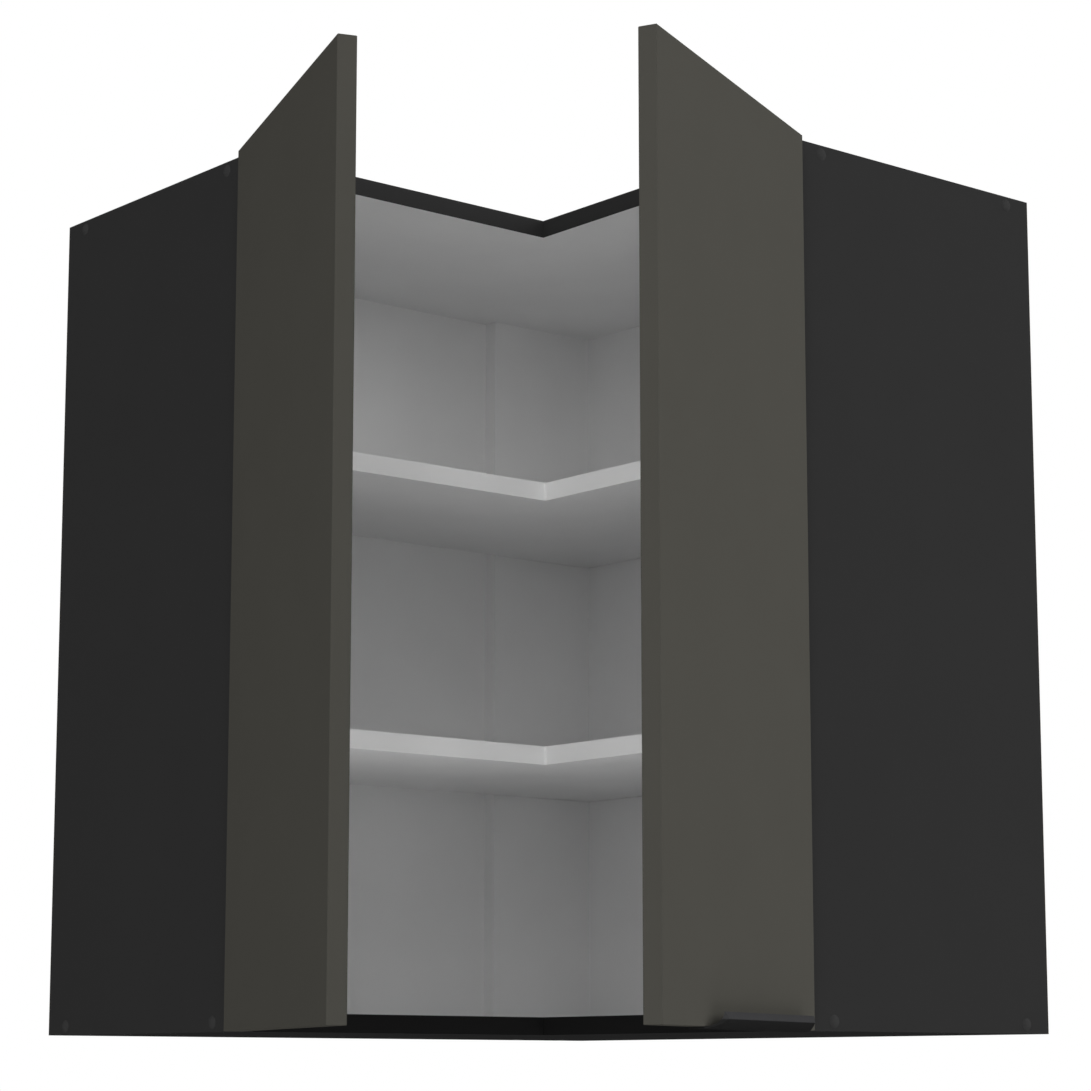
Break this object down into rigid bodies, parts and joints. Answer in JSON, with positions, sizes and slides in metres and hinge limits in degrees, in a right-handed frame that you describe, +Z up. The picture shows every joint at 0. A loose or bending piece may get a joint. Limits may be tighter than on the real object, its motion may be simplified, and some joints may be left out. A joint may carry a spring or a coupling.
{
  "type": "corner wall cabinet",
  "caption": "L-shaped corner wall cabinet with doors on concealed cup hinges, fixed open shelving inside and a curved edge pull under a door.",
  "frame": {"origin": "the room corner: where the two wall planes meet, at the level of the cabinet's underside", "axes": "+X along the right-hand wall, -Y along the left-hand wall, +Z up; the concave front corner looks to +X -Y"},
  "size_m": [0.7272, 0.7114, 0.7174],
  "materials": {
    "carcass_board": "graphite melamine outside, white melamine inside, satin",
    "shelf_board": "white melamine, satin",
    "back_sheet": "white lacquered hardboard, satin",
    "door_board": "olive grey melamine, satin",
    "dark_edging": "graphite edging, satin",
    "white_edging": "white edging, satin",
    "handle": "black powder coat, satin",
    "hinge_steel": "nickel plated, satin",
    "pin_steel": "bright steel",
    "screw_steel": "zinc plated",
    "caps": "graphite plastic, satin",
    "dowel_wood": "raw beech",
    "bumpers": "clear soft plastic",
    "hanger_plastic": "white plastic"
  },
  "bodies": {
    "carcass": {"arm_screws_left": "screw_steel", "arm_screws_right": "screw_steel", "back_sheet_left": "back_sheet", "back_sheet_right": "back_sheet", "batten_screws": "screw_steel", "bottom_board": "carcass_board", "bottom_front_band": "dark_edging", "cabinet_screws": "screw_steel", "corner_batten": "shelf_board", "end_panel_band_left": "dark_edging", "end_panel_band_right": "dark_edging", "end_panel_left": "carcass_board", "end_panel_right": "carcass_board", "hanger_hooks": "pin_steel", "hanger_housings": "hanger_plastic", "hanger_screws": "screw_steel", "hinge_arms_left": "hinge_steel", "hinge_arms_right": "hinge_steel", "hinge_plates_left": "hinge_steel", "hinge_plates_right": "hinge_steel", "hinge_rivets_left": "pin_steel", "hinge_rivets_right": "pin_steel", "plate_screws_left": "screw_steel", "plate_screws_right": "screw_steel", "screw_caps": "caps", "shelf_band_lower": "white_edging", "shelf_band_upper": "white_edging", "shelf_lower": "shelf_board", "shelf_pins": "pin_steel", "shelf_upper": "shelf_board", "top_board": "carcass_board", "top_front_band": "dark_edging", "wood_dowels": "dowel_wood"},
    "left_door": {"door_left": "door_board", "door_bumpers_left": "bumpers", "hinge_cups_left": "hinge_steel", "cup_screws_left": "screw_steel"},
    "left_links": {"hinge_links_left": "hinge_steel", "link_pins_left": "pin_steel"},
    "right_door": {"door_right": "door_board", "door_bumpers_right": "bumpers", "hinge_cups_right": "hinge_steel", "cup_screws_right": "screw_steel", "door_handle": "handle", "handle_screws": "screw_steel"},
    "right_links": {"hinge_links_right": "hinge_steel", "link_pins_right": "pin_steel"}
  },
  "joints": [
    {"name": "left_door_hinge", "type": "hinge", "parent": "carcass", "child": "left_door", "pos_m": [0.2899, -0.5974, 0.358], "axis": [0, 0, 1], "range_deg": [0, 109.94]},
    {"name": "left_link_pivot", "type": "hinge", "parent": "carcass", "child": "left_links", "pos_m": [0.2975, -0.59, 0.358], "axis": [0, 0, 1], "range_deg": [0, 162.96]},
    {"name": "right_door_hinge", "type": "hinge", "parent": "carcass", "child": "right_door", "pos_m": [0.5974, -0.2899, 0.358], "axis": [0, 0, -1], "range_deg": [0, 114.06]},
    {"name": "right_link_pivot", "type": "hinge", "parent": "carcass", "child": "right_links", "pos_m": [0.59, -0.2975, 0.358], "axis": [0, 0, -1], "range_deg": [0, 166.86]}
  ],
  "couplings": [
    {"joint": "left_link_pivot", "follows": "left_door_hinge", "ratio": 1.4818},
    {"joint": "right_link_pivot", "follows": "right_door_hinge", "ratio": 1.4625}
  ]
}
